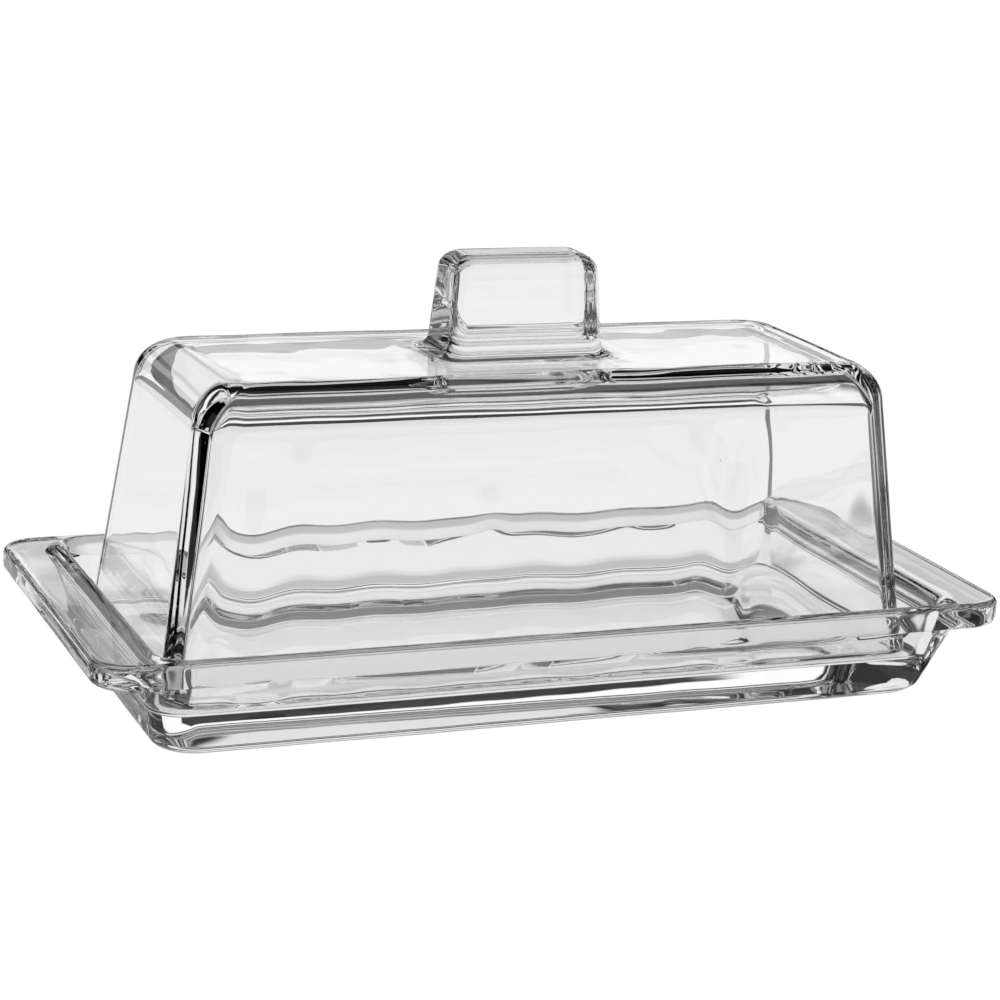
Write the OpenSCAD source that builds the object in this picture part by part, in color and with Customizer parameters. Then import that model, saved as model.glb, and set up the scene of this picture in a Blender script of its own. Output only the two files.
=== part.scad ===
// Pressed-glass butter dish: a shallow tray with a flat handle flange at each
// short end, and a loose drafted cover with a block knob moulded in one with it.
// Origin: centre of the tray's underside. X along the tray, Y across it, Z up.
// Each piece is one closed skin of stacked rounded-rectangle sections, which is
// how the two halves of a press mould leave it: every wall has a draft and
// every edge a radius.

/* [Tray rim] */
// Overall length over both end flanges
dish_length = 190; // [170:1:220]
// Overall width over the rim
dish_width = 85.7; // [85.3:0.1:100]
// Height of the rim above the table
dish_height = 21.0; // [20:0.1:26]
// Thickness of the end flanges
flange_thickness = 4.9; // [4:0.1:6]
// Corner radius of the rim seen from above
rim_corner_radius = 7.4; // [6:0.1:12]
// Edge radius of the flanges and rim
rim_edge_radius = 1.2; // [0.8:0.1:1.4]

/* [Tray body] */
// Length of the tub just under the flanges
tub_top_length = 171; // [169.5:0.1:172.5]
// Length of the tub at the table
tub_base_length = 162.4; // [161:0.1:165]
// How far the rim stands out from the tub along the long sides
rim_step = 0.1; // [0.1:0.1:0.6]
// Width of the tub at the table
tub_base_width = 72.2; // [71:0.1:76]
// Corner radius of the tub
tub_corner_radius = 7.6; // [6:0.1:10]
// Radius between the tub's walls and its underside
base_edge_radius = 2.6; // [2:0.1:4]
// Length of the shallow dished hollow under the foot
hollow_length = 144; // [130:1:150]
// Width of the hollow under the foot
hollow_width = 60; // [50:0.5:62]
// Depth of the hollow at its middle
hollow_depth = 1.1; // [0.5:0.1:2]
// Width of the soft slope round the hollow
hollow_slope = 14; // [9:0.5:18]
// Corner radius of the hollow
hollow_corner_radius = 7; // [5:0.5:10]

/* [Well] */
// Thickness of the glass under the well
floor_thickness = 9.2; // [8.5:0.1:10.5]
// Length of the well at the rim
well_top_length = 164.4; // [163.6:0.1:165]
// Width of the well at the rim
well_top_width = 79.6; // [78:0.1:79.8]
// Length of the well at its floor
well_floor_length = 160.4; // [159.2:0.1:161]
// Width of the well at its floor
well_floor_width = 71.4; // [69:0.1:72]
// Corner radius of the well
well_corner_radius = 6; // [5:0.5:8]
// Radius of the well's upper edge
well_lip_radius = 1.6; // [1:0.1:1.7]
// Radius between the well's walls and floor
well_floor_radius = 1.2; // [1:0.1:2]

/* [Cover] */
// Length of the cover at its foot
cover_foot_length = 158.1; // [150:0.1:158.4]
// Width of the cover at its foot
cover_foot_width = 66; // [62:0.1:67]
// Length of the cover at its top
cover_top_length = 143; // [136:0.1:146]
// Width of the cover at its top
cover_top_width = 54.5; // [52:0.1:58]
// Height of the cover without its knob
cover_height = 58; // [50:0.1:68]
// Corner radius of the cover
cover_corner_radius = 7.6; // [5:0.1:9]
// Corner radius of the hollow inside the cover
cover_inner_corner_radius = 2; // [1.5:0.1:5]
// Radius between the cover's walls and its top
cover_top_radius = 6.6; // [4:0.1:8]
// Wall thickness of the cover
cover_wall = 4; // [3:0.1:4.5]
// Thickness of the cover's top
cover_roof = 4.5; // [3:0.1:6]
// Radius inside, between the cover's walls and its roof
cover_inner_radius = 5.1; // [3:0.1:6.6]
// Edge radius of the cover's foot
cover_foot_radius = 1; // [0.5:0.1:1.4]

/* [Knob] */
// Height of the knob above the cover's top
knob_height = 20; // [15:0.1:25]
// Length of the knob at its top
knob_top_length = 30.3; // [26:0.1:34]
// Length of the knob at its foot
knob_foot_length = 33; // [30:0.1:36]
// Depth of the knob at its top
knob_top_depth = 13.4; // [11:0.1:15]
// Depth of the knob at its foot
knob_foot_depth = 16.2; // [14:0.1:18]
// Corner radius of the knob seen from above
knob_corner_radius = 2.9; // [2:0.1:4]
// Radius of the knob's top edge
knob_edge_radius = 3.8; // [2:0.1:4]
// Radius of the flare between the knob and the cover's top
knob_flare_radius = 2.6; // [1.5:0.1:3.5]

/* [Detail] */
// Segments in each rounded corner
corner_steps = 10; // [6:1:12]
// Segments in each edge radius
edge_steps = 5; // [3:1:6]

/* [Hidden] */

cover_z = floor_thickness;
top_z = cover_z + cover_height;
flange_z = dish_height - flange_thickness;
knob_z = top_z + knob_height;
slope_steps = 10;

function mix(a, b, t) = a + (b - a) * t;

// A section is [z, half length, half width, corner radius].
function section(z, l, w, r, inset = 0) =
    [z, l / 2 - inset, w / 2 - inset, max(0.4, r - inset * 0.5)];

// One corner's arc of a section, anticlockwise from angle a0.
function arc(s, sx, sy, a0) =
    [for (i = [0:corner_steps])
        let (a = a0 + 90 * i / corner_steps, r = min(s[3], min(s[1], s[2]) - 0.01))
        [sx * (s[1] - r) + r * cos(a), sy * (s[2] - r) + r * sin(a), s[0]]];

function ring(s) = concat(arc(s, 1, 1, 0), arc(s, -1, 1, 90),
                          arc(s, -1, -1, 180), arc(s, 1, -1, 270));

// Closed skin over a stack of sections, capped flat at both ends.
module skin(sections) {
    n = 4 * (corner_steps + 1);
    m = len(sections);
    points = [for (s = sections) each ring(s)];
    sides = [for (j = [0:m - 2]) for (i = [0:n - 1])
        let (a = j * n + i, b = j * n + (i + 1) % n, c = b + n, d = a + n)
        each [[a, d, c], [a, c, b]]];
    first = [for (i = [0:n - 1]) i];
    last = [for (i = [n - 1:-1:0]) (m - 1) * n + i];
    polyhedron(points = points, faces = concat([first], sides, [last]), convexity = 8);
}

// The tray, from the middle of the hollow under it, down its soft slope to the
// flat ring it stands on, round the foot, up the tub,
// round the flange, and down the well to the middle of its floor.
module dish() {
    function tub(z, inset) = let (t = z / flange_z)
        section(z, mix(tub_base_length, tub_top_length, t),
                mix(tub_base_width, dish_width - 2 * rim_step, t), tub_corner_radius, inset);
    function well(z, grow) = let (t = (z - floor_thickness) / (dish_height - floor_thickness))
        section(z, mix(well_floor_length, well_top_length, t),
                mix(well_floor_width, well_top_width, t), well_corner_radius, -grow);
    hollow = [for (i = [0:slope_steps]) let (t = i / slope_steps, out = 2 * hollow_slope * (1 - t))
        section(hollow_depth * (1 - t * t * (3 - 2 * t)), hollow_length - out, hollow_width - out,
                hollow_corner_radius)];
    base = [for (i = [0:edge_steps]) let (a = 90 * i / edge_steps)
        tub(base_edge_radius * (1 - cos(a)), base_edge_radius * (1 - sin(a)))];
    under = [tub(flange_z - 0.02, 0)];
    // The rim's lower edge is rounded at the end flanges only: along the long
    // sides the tub's wall runs straight up into the rim.
    edge_low = [for (i = [0:edge_steps]) let (a = 90 * i / edge_steps)
        section(flange_z + rim_edge_radius * (1 - cos(a)),
                dish_length - 2 * rim_edge_radius * (1 - sin(a)), dish_width, rim_corner_radius)];
    edge_high = [for (i = [0:edge_steps]) let (a = 90 * i / edge_steps)
        section(dish_height - rim_edge_radius * (1 - sin(a)), dish_length, dish_width,
                rim_corner_radius, rim_edge_radius * (1 - cos(a)))];
    lip = [for (i = [0:edge_steps]) let (a = 90 * i / edge_steps)
        well(dish_height - well_lip_radius * (1 - cos(a)), well_lip_radius * (1 - sin(a)))];
    foot = [for (i = [0:edge_steps]) let (a = 90 * i / edge_steps)
        well(floor_thickness + well_floor_radius * (1 - sin(a)), -well_floor_radius * (1 - cos(a)))];
    color([0.88, 0.90, 0.90, 0.5]) skin(concat(hollow, base, under, edge_low, edge_high, lip, foot));
}

// The cover and its knob, from the middle of the roof's inside, down to the
// foot, up the outside, over the top and up the knob.
module cover() {
    function outer(z, inset) = let (t = (z - cover_z) / cover_height)
        section(z, mix(cover_foot_length, cover_top_length, t),
                mix(cover_foot_width, cover_top_width, t), cover_corner_radius, inset);
    function inner(z, inset) = let (t = (z - cover_z) / cover_height)
        section(z, mix(cover_foot_length, cover_top_length, t) - 2 * cover_wall,
                mix(cover_foot_width, cover_top_width, t) - 2 * cover_wall,
                cover_inner_corner_radius, inset);
    function knob(z, inset) = let (t = (z - top_z) / knob_height)
        section(z, mix(knob_foot_length, knob_top_length, t),
                mix(knob_foot_depth, knob_top_depth, t), knob_corner_radius, inset);
    roof = top_z - cover_roof;
    ceiling = [for (i = [0:edge_steps]) let (a = 90 * i / edge_steps)
        inner(roof - cover_inner_radius * (1 - cos(a)), cover_inner_radius * (1 - sin(a)))];
    foot_in = [for (i = [0:edge_steps]) let (a = 90 * i / edge_steps)
        inner(cover_z + cover_foot_radius * (1 - sin(a)), -cover_foot_radius * (1 - cos(a)))];
    foot_out = [for (i = [0:edge_steps]) let (a = 90 * i / edge_steps)
        outer(cover_z + cover_foot_radius * (1 - cos(a)), cover_foot_radius * (1 - sin(a)))];
    shoulder = [for (i = [0:edge_steps]) let (a = 90 * i / edge_steps)
        outer(top_z - cover_top_radius * (1 - sin(a)), cover_top_radius * (1 - cos(a)))];
    flare = [for (i = [0:edge_steps]) let (a = 90 * i / edge_steps)
        knob(top_z + knob_flare_radius * (1 - cos(a)), -knob_flare_radius * (1 - sin(a)))];
    crown = [for (i = [0:edge_steps]) let (a = 90 * i / edge_steps)
        knob(knob_z - knob_edge_radius * (1 - sin(a)), knob_edge_radius * (1 - cos(a)))];
    color([0.90, 0.92, 0.92, 0.5]) skin(concat(ceiling, foot_in, foot_out, shoulder, flare, crown));
}

dish();
cover();
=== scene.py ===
"""Pressed-glass butter dish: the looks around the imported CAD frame.

Both pieces are rebuilt as dense closed glass skins from stacked
rounded-rectangle sections, with the radii and the slightly uneven walls that
pressed and fire-polished glass has. Units are metres, in the row frame.
"""
import math

import bpy
import numpy as np
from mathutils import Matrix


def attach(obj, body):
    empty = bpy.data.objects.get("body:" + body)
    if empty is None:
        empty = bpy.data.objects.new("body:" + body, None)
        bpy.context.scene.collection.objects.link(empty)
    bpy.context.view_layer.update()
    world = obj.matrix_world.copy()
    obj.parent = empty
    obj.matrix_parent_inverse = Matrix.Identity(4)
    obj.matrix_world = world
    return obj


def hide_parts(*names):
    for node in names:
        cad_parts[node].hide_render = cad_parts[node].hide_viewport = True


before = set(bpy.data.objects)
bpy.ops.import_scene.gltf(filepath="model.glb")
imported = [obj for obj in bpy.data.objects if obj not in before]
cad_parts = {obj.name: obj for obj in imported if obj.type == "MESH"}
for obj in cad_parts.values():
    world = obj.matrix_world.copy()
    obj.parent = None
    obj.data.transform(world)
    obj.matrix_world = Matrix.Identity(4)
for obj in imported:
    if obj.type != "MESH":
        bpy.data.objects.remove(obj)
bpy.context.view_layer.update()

MM = 0.001

# ------------------------------------------------------------------ sections
# The same driving sizes as the CAD, in millimetres.
DISH_L, DISH_W, DISH_H = 190.0, 85.7, 21.0
FLANGE_T = 4.9
RIM_R, RIM_EDGE = 7.4, 1.2
TUB_TOP_L, TUB_TOP_W = 171.0, 85.66
TUB_BASE_L, TUB_BASE_W = 162.4, 72.2
TUB_R, BASE_R = 7.6, 2.6
FLOOR_T = 9.2
HOLLOW_L, HOLLOW_W, HOLLOW_D = 144.0, 60.0, 1.1   # the shallow hollow under the foot
HOLLOW_R, HOLLOW_SLOPE = 7.0, 14.0
WELL_TOP_L, WELL_TOP_W = 164.4, 79.6
WELL_FLOOR_L, WELL_FLOOR_W = 160.4, 71.4
WELL_R, LIP_R, WELL_FLOOR_R = 6.0, 1.6, 1.2

COVER_FOOT_L, COVER_FOOT_W = 158.1, 66.0
COVER_TOP_L, COVER_TOP_W = 143.0, 54.5
COVER_H = 58.0
COVER_R, COVER_TOP_R, COVER_WALL, COVER_ROOF = 7.6, 6.6, 4.0, 4.5
COVER_IN_R, COVER_IN_CORNER, COVER_FOOT_R = 5.1, 2.0, 1.0

KNOB_H = 20.0
KNOB_TOP_L, KNOB_FOOT_L = 30.3, 33.0
KNOB_TOP_D, KNOB_FOOT_D = 13.4, 16.2
KNOB_R, KNOB_EDGE, KNOB_FLARE = 2.9, 3.8, 2.6

COVER_Z = FLOOR_T
TOP_Z = COVER_Z + COVER_H
FLANGE_Z = DISH_H - FLANGE_T
KNOB_Z = TOP_Z + KNOB_H

NC, NL, NS = 14, 110, 46     # points per corner, long side and short side


def mix(a, b, t):
    return a + (b - a) * t


def section(z, length, width, radius, inset=0.0, tag=0):
    return (z, length / 2 - inset, width / 2 - inset, max(0.35, radius - inset * 0.5), tag)


def ring(s):
    """Points of one section, anticlockwise from the +X side, always the same count."""
    z, a, b, r, _ = s
    r = min(r, a - 0.02, b - 0.02)
    pts = []

    def arc(cx, cy, a0):
        for i in range(NC + 1):
            t = math.radians(a0 + 90.0 * i / NC)
            pts.append((cx + r * math.cos(t), cy + r * math.sin(t), z))

    def line(p, q, n):
        for i in range(1, n):
            t = i / n
            pts.append((mix(p[0], q[0], t), mix(p[1], q[1], t), z))

    arc(a - r, b - r, 0)
    line((a - r, b), (-(a - r), b), NL)
    arc(-(a - r), b - r, 90)
    line((-a, b - r), (-a, -(b - r)), NS)
    arc(-(a - r), -(b - r), 180)
    line((-(a - r), -b), (a - r, -b), NL)
    arc(a - r, -(b - r), 270)
    line((a, -(b - r)), (a, b - r), NS)
    return pts


def quarter(n):
    return [math.radians(90.0 * i / n) for i in range(n + 1)]


def between(s0, s1, n):
    """n - 1 sections strictly between two sections."""
    out = []
    for i in range(1, n):
        t = i / n
        out.append(tuple(mix(s0[k], s1[k], t) for k in range(4)) + (s0[4],))
    return out


def disc(s, n):
    """Sections shrinking from s to a short slit at the middle, outermost first, not including s."""
    out = []
    for i in range(1, n + 1):
        t = 1 - i / n
        a = mix(max(s[1] - s[2], 2.0) + 1.0, s[1], t)
        b = mix(0.6, s[2], t)
        out.append((s[0], a, b, min(mix(0.5, s[3], t), b - 0.05), s[4]))
    return out


# ------------------------------------------------------- uneven pressed glass
def swell(p, q, seed):
    """A smooth, repeatable unevenness in mm, a few hundredths to a tenth."""
    a = (np.sin(p * 0.210 + 1.3 * seed) * 0.55 + np.sin(p * 0.093 + 2.1 * seed + 0.8) * 0.75
         + np.sin(p * 0.37 + q * 0.11 + 0.7 * seed) * 0.25)
    b = np.sin(q * 0.17 + 1.9 * seed) * 0.5 + np.sin(q * 0.071 + p * 0.035 + seed) * 0.7
    return a * 0.05 + b * 0.03


def warp(x):
    """How strongly the inner face of the front wall leans at x, in mm per mm of height."""
    left = -0.040 * np.exp(-((x + 72) / 20.0) ** 2) * np.cos((x + 71.7) * 2 * math.pi / 20.5)
    left = left + 0.016 * np.exp(-((x + 72) / 4.0) ** 2)
    middle = 0.005 * np.sin(x * 0.21 + 0.5) + 0.004 * np.sin(x * 0.37)
    right = 0.040 * np.exp(-((x - 38) / 3.5) ** 2) - 0.020 * np.exp(-((x - 31.5) / 3.0) ** 2)
    return left + middle + right


def dent(x, z):
    """One shallow seed mark in that wall, in mm."""
    return -0.19 * np.exp(-((x + 14.5) / 3.2) ** 2 - ((z - 42.0) / 2.5) ** 2 / 2)


def uneven(co, no, tags, amp):
    """Moves points along their normals by the swell of the wall they lie on."""
    x, y, z = co[:, 0], co[:, 1], co[:, 2]
    ax, ay, az = np.abs(no[:, 0]), np.abs(no[:, 1]), np.abs(no[:, 2])
    seed = tags.astype(float)
    d = (ay ** 2 * swell(x, z, seed + 0.3 * np.sign(no[:, 1]))
         + ax ** 2 * swell(y + 40, z, seed + 1.7 + 0.4 * np.sign(no[:, 0]))
         + az ** 2 * swell(x + 15, y, seed + 3.1))
    d = d * amp[tags]
    if WARP_TAG is not None:
        # The mould's core leaves the inside of the long front wall slightly twisted.
        inside = (tags == WARP_TAG) & (y < 0)
        lean = (warp(x) * (z - WARP_Z) * np.clip((TOP_Z - 10 - z) / 8, 0, 1) + dent(x, z)) * ay ** 4
        d = np.where(inside, d + lean, d)
    return co + no * d[:, None]


def vertex_normals(co, faces):
    """Area-weighted vertex normals of a quad list."""
    f = np.asarray(faces)
    p0, p1, p2, p3 = (co[f[:, i]] for i in range(4))
    n = np.cross(p2 - p0, p3 - p1)
    out = np.zeros_like(co)
    for i in range(4):
        np.add.at(out, f[:, i], n)
    length = np.linalg.norm(out, axis=1)
    return out / np.maximum(length, 1e-12)[:, None]


WARP_TAG, WARP_Z = None, 34.0


def skin(name, sections, amp):
    """Closed skin over a stack of sections. amp is the unevenness for each tag."""
    co, tags = [], []
    for s in sections:
        r = ring(s)
        co += r
        tags += [s[4]] * len(r)
    co = np.array(co, float)
    tags = np.array(tags, int)
    n = len(co) // len(sections)
    quads = []
    for j in range(len(sections) - 1):
        a = j * n
        for i in range(n):
            k = (i + 1) % n
            quads.append((a + i, a + k, a + n + k, a + n + i))
    no = vertex_normals(co, quads)
    if not outward(co, quads):
        quads = [q[::-1] for q in quads]
        no = -no
        first, last = list(range(n)), [len(co) - n + i for i in range(n - 1, -1, -1)]
    else:
        first, last = list(range(n - 1, -1, -1)), [len(co) - n + i for i in range(n)]
    co = uneven(co, no, tags, np.array(amp))
    mesh = bpy.data.meshes.new(name)
    mesh.from_pydata((co * MM).tolist(), [], quads + [first, last])
    mesh.validate()
    mesh.update()
    mesh.polygons.foreach_set("use_smooth", [True] * len(mesh.polygons))
    obj = bpy.data.objects.new(name, mesh)
    bpy.context.scene.collection.objects.link(obj)
    return obj


def outward(co, quads):
    f = np.asarray(quads)
    p0, p1, p2, p3 = (co[f[:, i]] for i in range(4))
    vol = np.einsum("ij,ij->i", p0, np.cross(p1, p2)).sum() + np.einsum("ij,ij->i", p0, np.cross(p2, p3)).sum()
    return vol > 0


# ------------------------------------------------------------------- the tray
def tub(z, inset, tag=1):
    t = z / FLANGE_Z
    return section(z, mix(TUB_BASE_L, TUB_TOP_L, t), mix(TUB_BASE_W, TUB_TOP_W, t), TUB_R, inset, tag)


def well(z, grow, tag=3):
    t = (z - FLOOR_T) / (DISH_H - FLOOR_T)
    return section(z, mix(WELL_FLOOR_L, WELL_TOP_L, t), mix(WELL_FLOOR_W, WELL_TOP_W, t), WELL_R, -grow, tag)


def dish_sections():
    q = quarter(7)
    base = [tub(BASE_R * (1 - math.cos(a)), BASE_R * (1 - math.sin(a))) for a in q]
    under = tub(FLANGE_Z - 0.03, 0)
    # The rim's lower edge radius shows only under the end flanges: along the long
    # sides the tub's wall runs straight up into the rim.
    low = [section(FLANGE_Z + RIM_EDGE * (1 - math.cos(a)), DISH_L - 2 * RIM_EDGE * (1 - math.sin(a)), DISH_W, RIM_R,
                   0, 2) for a in q]
    high = [section(DISH_H - RIM_EDGE * (1 - math.sin(a)), DISH_L, DISH_W, RIM_R,
                    RIM_EDGE * (1 - math.cos(a)), 2) for a in q]
    lip = [well(DISH_H - LIP_R * (1 - math.cos(a)), LIP_R * (1 - math.sin(a))) for a in q]
    foot = [well(FLOOR_T + WELL_FLOOR_R * (1 - math.sin(a)), -WELL_FLOOR_R * (1 - math.cos(a))) for a in q]
    hollow = []
    for i in range(25):
        t = i / 24
        hollow.append(section(HOLLOW_D * (1 - t * t * (3 - 2 * t)), HOLLOW_L - 2 * HOLLOW_SLOPE * (1 - t),
                              HOLLOW_W - 2 * HOLLOW_SLOPE * (1 - t), HOLLOW_R, 0, 0))
    under_disc = [(s[0], s[1], s[2], s[3], 0) for s in disc(hollow[0], 8)][::-1]
    under_disc += hollow + between(hollow[-1], (base[0][:4] + (0,)), 4)
    floor_disc = [(s[0], s[1], s[2], s[3], 4) for s in disc(foot[-1], 14)]
    out = under_disc + base
    out += between(base[-1], under, 8) + [under]
    out += between(under, low[0], 6) + low + between(low[-1], high[0], 3) + high
    out += between(high[-1], lip[0], 8) + lip + between(lip[-1], foot[0], 7) + foot + floor_disc
    return out


# ------------------------------------------------------------------ the cover
def outer(z, inset, tag=1):
    t = (z - COVER_Z) / COVER_H
    return section(z, mix(COVER_FOOT_L, COVER_TOP_L, t), mix(COVER_FOOT_W, COVER_TOP_W, t), COVER_R, inset, tag)


def inner(z, inset, tag=2):
    t = (z - COVER_Z) / COVER_H
    return section(z, mix(COVER_FOOT_L, COVER_TOP_L, t) - 2 * COVER_WALL,
                   mix(COVER_FOOT_W, COVER_TOP_W, t) - 2 * COVER_WALL,
                   COVER_IN_CORNER, inset, tag)


def knob(z, inset, tag=5):
    t = (z - TOP_Z) / KNOB_H
    return section(z, mix(KNOB_FOOT_L, KNOB_TOP_L, t), mix(KNOB_FOOT_D, KNOB_TOP_D, t), KNOB_R, inset, tag)


def cover_sections():
    q = quarter(7)
    roof = TOP_Z - COVER_ROOF
    ceiling = [inner(roof - COVER_IN_R * (1 - math.cos(a)), COVER_IN_R * (1 - math.sin(a))) for a in q]
    lift = 0.05
    foot_in = [inner(COVER_Z + lift + COVER_FOOT_R * (1 - math.sin(a)), -COVER_FOOT_R * (1 - math.cos(a))) for a in q]
    foot_out = [outer(COVER_Z + lift + COVER_FOOT_R * (1 - math.cos(a)), COVER_FOOT_R * (1 - math.sin(a))) for a in q]
    shoulder = [outer(TOP_Z - COVER_TOP_R * (1 - math.sin(a)), COVER_TOP_R * (1 - math.cos(a))) for a in quarter(10)]
    flare = [knob(TOP_Z + KNOB_FLARE * (1 - math.cos(a)), -KNOB_FLARE * (1 - math.sin(a))) for a in q]
    crown = [knob(KNOB_Z - KNOB_EDGE * (1 - math.sin(a)), KNOB_EDGE * (1 - math.cos(a))) for a in quarter(9)]
    roof_disc = [(s[0], s[1], s[2], s[3], 3) for s in disc(ceiling[0], 12)][::-1]
    crown_disc = [(s[0], s[1], s[2], s[3], 6) for s in disc(crown[-1], 5)]
    out = roof_disc + ceiling + between(ceiling[-1], foot_in[0], 40) + foot_in
    out += between(foot_in[-1], foot_out[0], 3) + foot_out
    out += between(foot_out[-1], shoulder[0], 26) + shoulder
    out += [(s[0], s[1], s[2], s[3], 4) for s in between(shoulder[-1], flare[0], 12)]
    out += flare + between(flare[-1], crown[0], 8) + crown + crown_disc
    return out


# ---------------------------------------------------------------- the glass
def glass(name, tint):
    mat = bpy.data.materials.new(name)
    mat.use_nodes = True
    nt = mat.node_tree
    bsdf = nt.nodes["Principled BSDF"]
    bsdf.inputs["Base Color"].default_value = (*tint, 1)
    bsdf.inputs["Metallic"].default_value = 0.0
    bsdf.inputs["IOR"].default_value = 1.5
    bsdf.inputs["Transmission Weight"].default_value = 1.0
    coord = nt.nodes.new("ShaderNodeTexCoord")
    # Faint surface ripple left by the press and the fire polish.
    ripple = nt.nodes.new("ShaderNodeTexNoise")
    ripple.inputs["Scale"].default_value = 55.0
    ripple.inputs["Detail"].default_value = 1.5
    bump = nt.nodes.new("ShaderNodeBump")
    bump.inputs["Strength"].default_value = 0.05
    bump.inputs["Distance"].default_value = 0.001
    nt.links.new(coord.outputs["Object"], ripple.inputs["Vector"])
    nt.links.new(ripple.outputs["Fac"], bump.inputs["Height"])
    nt.links.new(bump.outputs["Normal"], bsdf.inputs["Normal"])
    # Roughness: polished, with a trace of handling.
    haze = nt.nodes.new("ShaderNodeTexNoise")
    haze.inputs["Scale"].default_value = 30.0
    haze.inputs["Detail"].default_value = 3.0
    span = nt.nodes.new("ShaderNodeMapRange")
    span.inputs["To Min"].default_value = 0.0
    span.inputs["To Max"].default_value = 0.012
    nt.links.new(coord.outputs["Object"], haze.inputs["Vector"])
    nt.links.new(haze.outputs["Fac"], span.inputs["Value"])
    nt.links.new(span.outputs["Result"], bsdf.inputs["Roughness"])
    return mat


dish = skin("tray_glass", dish_sections(), [0.0, 0.8, 0.3, 0.8, 0.4])
WARP_TAG = 2
cover = skin("cover_glass", cover_sections(), [0.0, 1.0, 1.0, 0.3, 0.3, 0.5, 0.3])
for obj, body, slot, tint in ((dish, "dish", "dish_glass", (0.985, 0.99, 0.985)),
                              (cover, "cover", "cover_glass", (0.985, 0.99, 0.985))):
    obj.data.materials.append(glass(obj.name, tint))
    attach(obj, body)
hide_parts("dish")
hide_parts("cover")

# ------------------------------------------------------------------ the stage
# Painted light and shade on the table, as emission strengths: behind the dish, under it, the painted shadow close to
# its foot and in the halo beyond, in front of it and at the back, and past its two ends.
FLOOR_OPEN_GLOW, FLOOR_UNDER, FLOOR_FOOT, FLOOR_HALO = 0.87, 0.85, 0.20, 0.50
FLOOR_NEAR, FLOOR_FAR, FLOOR_BACK = 0.25, 0.9, 0.78
LEFT_FOOT, LEFT_NEAR, LEFT_FAR = 0.35, 0.06, 0.02
RIGHT_FOOT, RIGHT_NEAR, RIGHT_FAR = 0.02, 0.85, 0.06
SIDE_BACK = 0.55
mesh = bpy.data.meshes.new("floor")
E = 6.0
mesh.from_pydata([(-E, -E, 0), (E, -E, 0), (E, E, 0), (-E, E, 0)], [], [(0, 1, 2, 3)])
floor = bpy.data.objects.new("floor", mesh)
floor.location = (0, 0, -0.0003)
bpy.context.scene.collection.objects.link(floor)
# The table glows by painted emission, with painted shadow around the dish.
fmat = bpy.data.materials.new("floor_painted_light")
fmat.use_nodes = True
fnt = fmat.node_tree
fb = fnt.nodes["Principled BSDF"]
fb.inputs["Base Color"].default_value = (0.12, 0.12, 0.12, 1)
fb.inputs["Roughness"].default_value = 0.9
fb.inputs["Specular IOR Level"].default_value = 0.0
fb.inputs["Emission Color"].default_value = (1, 1, 1, 1)
where = fnt.nodes.new("ShaderNodeTexCoord")
parts = fnt.nodes.new("ShaderNodeSeparateXYZ")
fnt.links.new(where.outputs["Object"], parts.inputs[0])


def floor_math(op, a, b=None):
    n = fnt.nodes.new("ShaderNodeMath")
    n.operation = op
    for i, v in enumerate((a, b)):
        if v is None:
            continue
        if isinstance(v, (int, float)):
            n.inputs[i].default_value = v
        else:
            fnt.links.new(v, n.inputs[i])
    return n.outputs[0]


def floor_step(value, lo, hi):
    n = fnt.nodes.new("ShaderNodeMapRange")
    n.interpolation_type = "SMOOTHSTEP"
    n.inputs["From Min"].default_value = lo
    n.inputs["From Max"].default_value = hi
    fnt.links.new(value, n.inputs["Value"])
    return n.outputs["Result"]


# Painted light on the table: it glows by emission, with painted shadow in a soft halo around the dish's foot, in front
# of it and towards the dark room past its two ends.
beyond_x = floor_math("SUBTRACT", floor_math("ABSOLUTE", parts.outputs["X"]), 0.081)
beyond_y = floor_math("SUBTRACT", floor_math("ABSOLUTE", parts.outputs["Y"]), 0.036)
beyond = floor_math("MAXIMUM", beyond_x, beyond_y)


def blend(low, high, t):
    """Moves from low to high with t, where low and high are numbers or node outputs."""
    return floor_math("ADD", floor_math("MULTIPLY", low, floor_math("SUBTRACT", 1.0, t)), floor_math("MULTIPLY", high, t))


painted_glow = blend(FLOOR_UNDER, FLOOR_FOOT, floor_step(beyond, 0.0, 0.001))
painted_glow = blend(painted_glow, FLOOR_HALO, floor_step(beyond, 0.010, 0.014))
painted_glow = blend(painted_glow, FLOOR_OPEN_GLOW, floor_step(beyond, 0.030, 0.042))
painted_glow = blend(painted_glow, FLOOR_BACK, floor_step(beyond, 0.25, 0.40))
front = floor_math("MULTIPLY", floor_step(beyond, 0.0, 0.001), floor_math("LESS_THAN", parts.outputs["Y"], 0.0))
painted_glow = blend(painted_glow, blend(FLOOR_NEAR, FLOOR_FAR, floor_step(beyond, 0.03, 0.11)), front)
past_end = floor_math("MULTIPLY", floor_step(floor_math("SUBTRACT", beyond_x, beyond_y), -0.002, 0.006), floor_step(beyond, 0.0, 0.001))
for foot_level, near, far, side in ((LEFT_FOOT, LEFT_NEAR, LEFT_FAR, "LESS_THAN"),
                                    (RIGHT_FOOT, RIGHT_NEAR, RIGHT_FAR, "GREATER_THAN")):
    level = blend(blend(foot_level, near, floor_step(beyond, 0.010, 0.014)), far, floor_step(beyond, 0.045, 0.085))
    level = blend(level, SIDE_BACK, floor_step(beyond, 0.35, 0.55))
    painted_glow = blend(painted_glow, level, floor_math("MULTIPLY", past_end, floor_math(side, parts.outputs["X"], 0.0)))
# Painted light: camera rays see the table plain white, and other rays see the painted glow and painted shadow.
seen = fnt.nodes.new("ShaderNodeLightPath")
fnt.links.new(floor_math("MAXIMUM", painted_glow, seen.outputs["Is Camera Ray"]), fb.inputs["Emission Strength"])
floor.data.materials.append(fmat)

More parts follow.
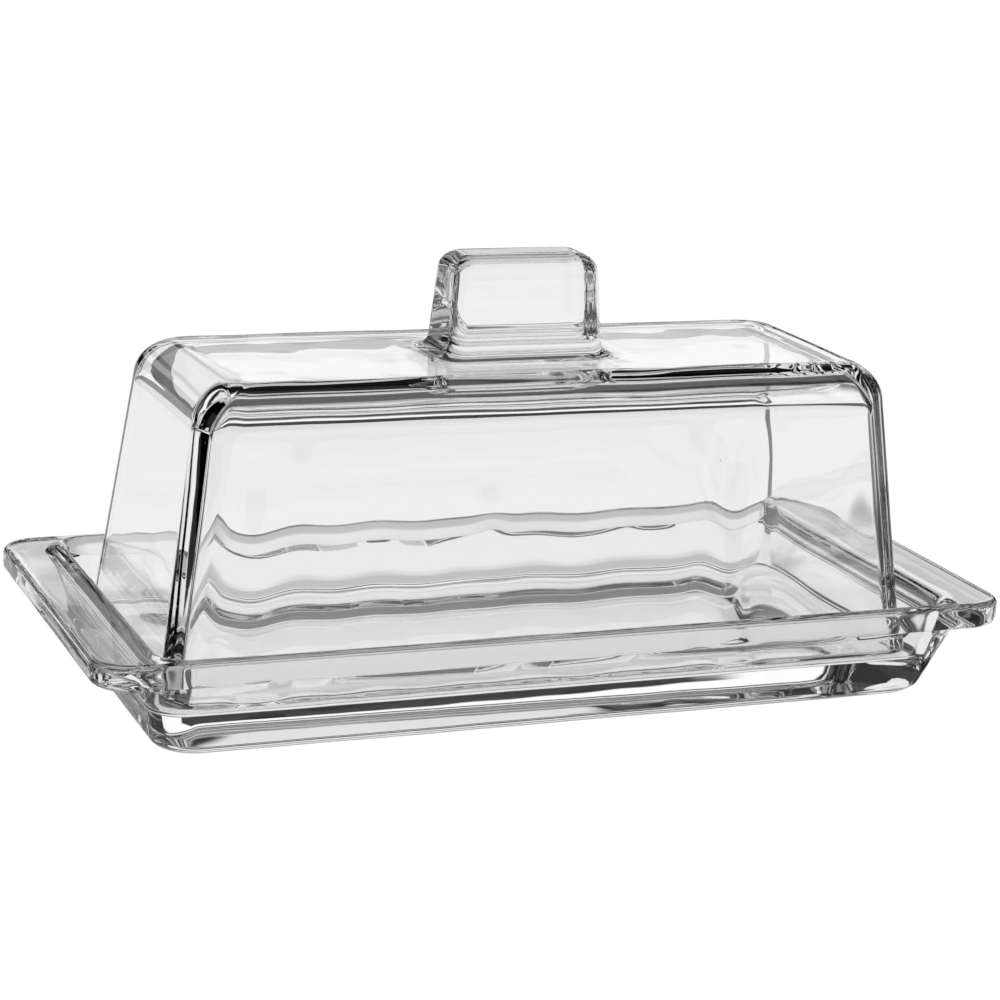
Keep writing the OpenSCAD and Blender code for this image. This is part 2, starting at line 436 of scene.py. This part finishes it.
world = bpy.data.worlds.new("tent")
bpy.context.scene.world = world
world.use_nodes = True
wn, wl = world.node_tree.nodes, world.node_tree.links
wn.clear()
out = wn.new("ShaderNodeOutputWorld")
bg = wn.new("ShaderNodeBackground")
wl.new(bg.outputs[0], out.inputs[0])
tc = wn.new("ShaderNodeTexCoord")
sep = wn.new("ShaderNodeSeparateXYZ")
wl.new(tc.outputs["Generated"], sep.inputs[0])


def math_node(op, a, b=None, clamp=False):
    n = wn.new("ShaderNodeMath")
    n.operation = op
    n.use_clamp = clamp
    for i, v in enumerate((a, b)):
        if v is None:
            continue
        if isinstance(v, (int, float)):
            n.inputs[i].default_value = v
        else:
            wl.new(v, n.inputs[i])
    return n.outputs[0]


# The tent, seen from the dish: a bright panel behind it, wide enough to fill the
# glass, with a dark gap between the table's far edge and the panel, and dark
# flags elsewhere, which draw the edges of clear glass.
YAW = math.radians(22.24)
fx, fy = math.sin(YAW), math.cos(YAW)
along = math_node("ADD", math_node("MULTIPLY", sep.outputs["X"], fx), math_node("MULTIPLY", sep.outputs["Y"], fy))
across = math_node("SUBTRACT", math_node("MULTIPLY", sep.outputs["X"], fy), math_node("MULTIPLY", sep.outputs["Y"], fx))
azimuth = math_node("MULTIPLY", math_node("ARCTAN2", across, along), 180 / math.pi)
elevation = math_node("MULTIPLY", math_node("ARCSINE", sep.outputs["Z"]), 180 / math.pi)


def step_node(value, lo, hi):
    """0 below lo, 1 above hi, smooth between, in degrees."""
    n = wn.new("ShaderNodeMapRange")
    n.interpolation_type = "SMOOTHSTEP"
    n.inputs["From Min"].default_value = lo
    n.inputs["From Max"].default_value = hi
    wl.new(value, n.inputs["Value"])
    return n.outputs["Result"]


def card(az0, az1, el0, el1, level, soft=4.0):
    """One soft-edged panel of the tent, by its azimuth and elevation in degrees."""
    right_edge = math_node("SUBTRACT", 1.0, step_node(azimuth, az1 - soft, az1 + soft))
    left_edge = step_node(azimuth, az0 - soft, az0 + soft)
    low_edge = step_node(elevation, el0 - soft / 4, el0 + soft / 4)
    high_edge = math_node("SUBTRACT", 1.0, step_node(elevation, el1 - soft, el1 + soft))
    m = math_node("MULTIPLY", math_node("MULTIPLY", right_edge, left_edge), math_node("MULTIPLY", low_edge, high_edge))
    return math_node("MULTIPLY", m, level)


total = card(-48, 26, 9.0, 14.0, 1.05, 0.8)
for more in (card(-48, 26, 17.0, 24.0, 0.80, 1.6), card(-48, 26, 27, 62, 0.08),
             card(-85, 85, 62, 95, 0.45, 6.0),
             card(115, 245, 6, 40, 0.45), card(-245, -115, 6, 40, 0.45)):
    total = math_node("ADD", total, more)
total = math_node("ADD", total, 0.02)
light_path = wn.new("ShaderNodeLightPath")
strength = math_node("MAXIMUM", total, light_path.outputs["Is Camera Ray"])
wl.new(strength, bg.inputs["Strength"])
bg.inputs["Color"].default_value = (1, 1, 1, 1)

# ----------------------------------------------------------------- the camera
PITCH, ROLL = math.radians(-15.99), math.radians(3.04)
cam_data = bpy.data.cameras.new("camera")
cam = bpy.data.objects.new("camera", cam_data)
bpy.context.scene.collection.objects.link(cam)
bpy.context.scene.camera = cam
fwd = np.array([math.sin(YAW) * math.cos(PITCH), math.cos(YAW) * math.cos(PITCH), math.sin(PITCH)])
right = np.array([math.cos(YAW), -math.sin(YAW), 0.0])
up = np.cross(right, fwd)
r2 = right * math.cos(ROLL) + up * math.sin(ROLL)
u2 = up * math.cos(ROLL) - right * math.sin(ROLL)
from mathutils import Matrix
rot = Matrix(((r2[0], u2[0], -fwd[0]), (r2[1], u2[1], -fwd[1]), (r2[2], u2[2], -fwd[2])))
cam.matrix_world = Matrix.Translation((-0.21033, -0.49120, 0.18117)) @ rot.to_4x4()
cam_data.sensor_width = 36.0
cam_data.lens = 2721.05 / 1000 * 36.0
cam_data.shift_x = 0.04025
cam_data.shift_y = 0.03448
cam_data.clip_start = 0.01
cam_data.clip_end = 50

scene = bpy.context.scene
scene.view_settings.view_transform = "Standard"
scene.view_settings.look = "None"
scene.view_settings.exposure = 0.0
scene.view_settings.gamma = 1.0
cy = scene.cycles
cy.max_bounces = 32
cy.transmission_bounces = 32
cy.glossy_bounces = 12
cy.transparent_max_bounces = 16
cy.caustics_reflective = True
cy.caustics_refractive = True
cy.blur_glossy = 0.0
